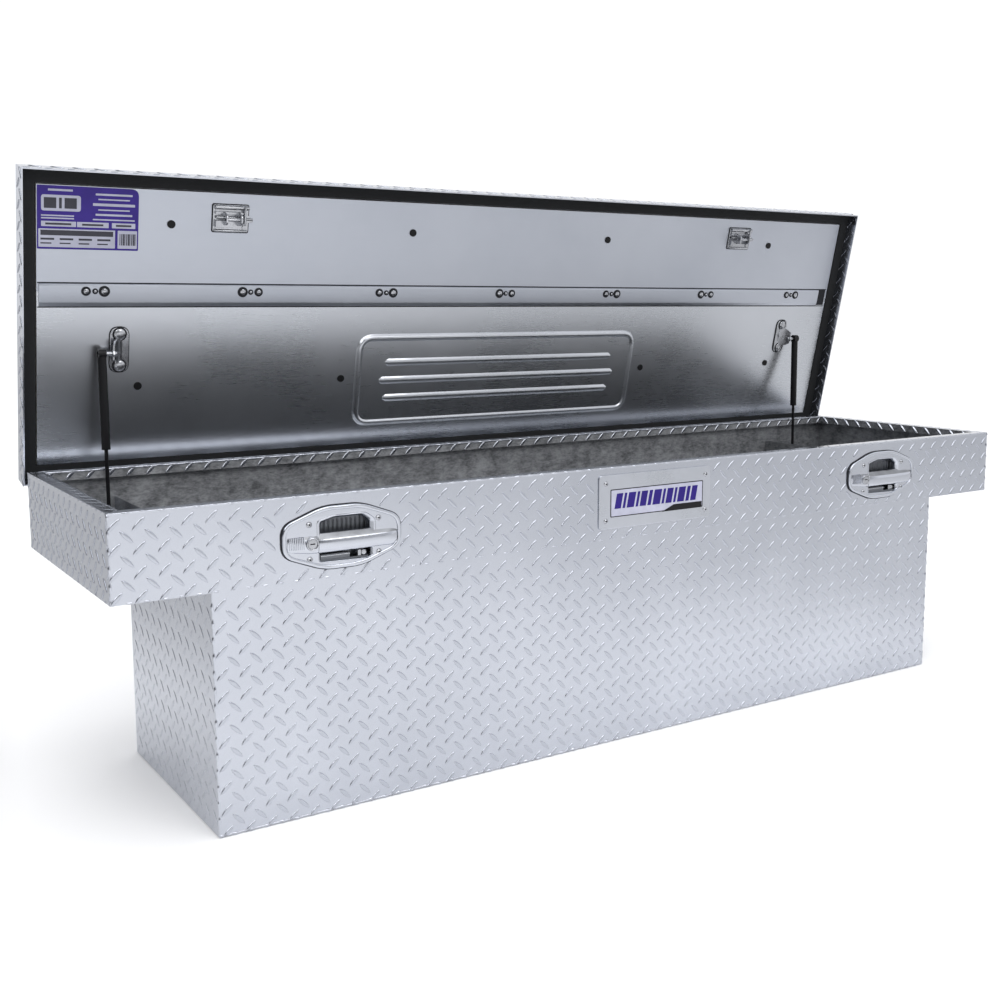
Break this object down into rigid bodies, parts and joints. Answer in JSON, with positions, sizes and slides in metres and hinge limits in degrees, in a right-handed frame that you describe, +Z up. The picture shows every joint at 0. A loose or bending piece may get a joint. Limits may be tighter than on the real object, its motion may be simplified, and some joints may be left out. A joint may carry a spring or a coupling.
{
  "type": "truck tool box",
  "caption": "Crossover truck tool box in tread plate: one lid on a rear piano hinge, gas struts, paddle latches and overhanging saddle ends.",
  "frame": {"origin": "on the underside of the tub floor, midway along the rim and midway between the front and rear bands", "axes": "+X along the box to the right as seen from the front, -Y out of the front with the paddle handles, +Z up"},
  "size_m": [1.786, 0.5176, 0.932],
  "materials": {
    "tread_plate": "bright embossed tread plate",
    "mill_aluminium": "plain rolled sheet",
    "stainless": "polished pressing",
    "brushed_plate": "brushed plate",
    "zinc_steel": "bright zinc plate",
    "black_paint": "gloss black paint",
    "black_foam": "matt closed-cell foam",
    "core_foam": "rigid foam board",
    "label_film": "printed film, satin",
    "badge_print": "printed panel, satin"
  },
  "bodies": {
    "tub": {"tub_floor": "tread_plate", "tub_front_wall": "tread_plate", "tub_rear_wall": "tread_plate", "tub_left_wall": "tread_plate", "tub_right_wall": "tread_plate", "saddle_floor_left": "tread_plate", "saddle_floor_right": "tread_plate", "rear_ledge": "tread_plate", "front_band": "tread_plate", "rear_band": "tread_plate", "end_plate_left": "tread_plate", "end_plate_right": "tread_plate", "rim_front": "tread_plate", "rim_rear": "tread_plate", "rim_left": "tread_plate", "rim_right": "tread_plate", "hinge_leaf_tub": "mill_aluminium", "hinge_pin": "zinc_steel", "hinge_rivets_tub": "zinc_steel", "handle_bezel_left": "stainless", "handle_bezel_right": "stainless", "handle_cup_left": "stainless", "handle_cup_right": "stainless", "handle_screws": "zinc_steel", "latch_housing_left": "zinc_steel", "latch_housing_right": "zinc_steel", "strut_foot_left": "zinc_steel", "strut_foot_right": "zinc_steel", "badge_plate": "brushed_plate", "badge_panel": "badge_print", "badge_screws": "zinc_steel"},
    "lid": {"lid_shell": "tread_plate", "lid_core": "core_foam", "lid_liner_lower": "mill_aluminium", "lid_liner_upper": "mill_aluminium", "lid_stiffener": "mill_aluminium", "lid_rivets": "zinc_steel", "lid_plugs": "black_foam", "lid_seal": "black_foam", "lid_label": "label_film", "hinge_leaf_lid": "mill_aluminium", "hinge_rivets_lid": "zinc_steel", "striker_left": "zinc_steel", "striker_right": "zinc_steel", "lid_screws": "zinc_steel", "strut_mount_left": "zinc_steel", "strut_mount_right": "zinc_steel"},
    "strut_cylinder_left": {"strut_cylinder_left": "black_paint"},
    "strut_cylinder_right": {"strut_cylinder_right": "black_paint"},
    "strut_rod_left": {"strut_rod_left": "zinc_steel"},
    "strut_rod_right": {"strut_rod_right": "zinc_steel"},
    "paddle_left": {"paddle_left": "stainless"},
    "paddle_right": {"paddle_right": "stainless"},
    "lock_left": {"lock_left": "zinc_steel"},
    "lock_right": {"lock_right": "zinc_steel"},
    "latch_hook_left": {"latch_hook_left": "zinc_steel"},
    "latch_hook_right": {"latch_hook_right": "zinc_steel"}
  },
  "joints": [
    {"name": "lid_hinge", "type": "hinge", "parent": "tub", "child": "lid", "pos_m": [0, 0.2435, 0.4384], "axis": [1, 0, 0], "range_deg": [0, 77.6], "stiffness_Nm_per_rad": 5, "springref_deg": -120.32},
    {"name": "strut_left_swing", "type": "hinge", "parent": "lid", "child": "strut_cylinder_left", "pos_m": [-0.773, 0.20579, 0.64717], "axis": [1, 0, 0], "range_deg": [-11.48, 0.4]},
    {"name": "strut_left_slide", "type": "slide", "parent": "strut_cylinder_left", "child": "strut_rod_left", "axis": [0, -0.0083, -1], "range_m": [-0.08948, 0.0005]},
    {"name": "strut_right_swing", "type": "hinge", "parent": "lid", "child": "strut_cylinder_right", "pos_m": [0.773, 0.20579, 0.64717], "axis": [1, 0, 0], "range_deg": [-11.48, 0.4]},
    {"name": "strut_right_slide", "type": "slide", "parent": "strut_cylinder_right", "child": "strut_rod_right", "axis": [0, -0.0083, -1], "range_m": [-0.08948, 0.0005]},
    {"name": "paddle_left_pull", "type": "hinge", "parent": "tub", "child": "paddle_left", "pos_m": [-0.565, -0.226, 0.377], "axis": [1, 0, 0], "range_deg": [0, 25], "stiffness_Nm_per_rad": 0.4, "springref_deg": -22.92},
    {"name": "lock_left_turn", "type": "hinge", "parent": "tub", "child": "lock_left", "pos_m": [-0.613, -0.23, 0.395], "axis": [0, 1, 0], "range_deg": [0, 90]},
    {"name": "latch_hook_left_turn", "type": "hinge", "parent": "tub", "child": "latch_hook_left", "pos_m": [-0.565, -0.195, 0.392], "axis": [1, 0, 0], "range_deg": [-14, 0], "stiffness_Nm_per_rad": 0.3, "springref_deg": 20.05},
    {"name": "paddle_right_pull", "type": "hinge", "parent": "tub", "child": "paddle_right", "pos_m": [0.565, -0.226, 0.377], "axis": [1, 0, 0], "range_deg": [0, 25], "stiffness_Nm_per_rad": 0.4, "springref_deg": -22.92},
    {"name": "lock_right_turn", "type": "hinge", "parent": "tub", "child": "lock_right", "pos_m": [0.517, -0.23, 0.395], "axis": [0, 1, 0], "range_deg": [0, 90]},
    {"name": "latch_hook_right_turn", "type": "hinge", "parent": "tub", "child": "latch_hook_right", "pos_m": [0.565, -0.195, 0.392], "axis": [1, 0, 0], "range_deg": [-14, 0], "stiffness_Nm_per_rad": 0.3, "springref_deg": 20.05}
  ],
  "couplings": [
    {"joint": "strut_left_swing", "follows": "lid_hinge", "ratio": -0.14274},
    {"joint": "strut_left_slide", "follows": "lid_hinge", "m_per_rad": -0.065696},
    {"joint": "strut_right_swing", "follows": "lid_hinge", "ratio": -0.14274},
    {"joint": "strut_right_slide", "follows": "lid_hinge", "m_per_rad": -0.065696}
  ]
}
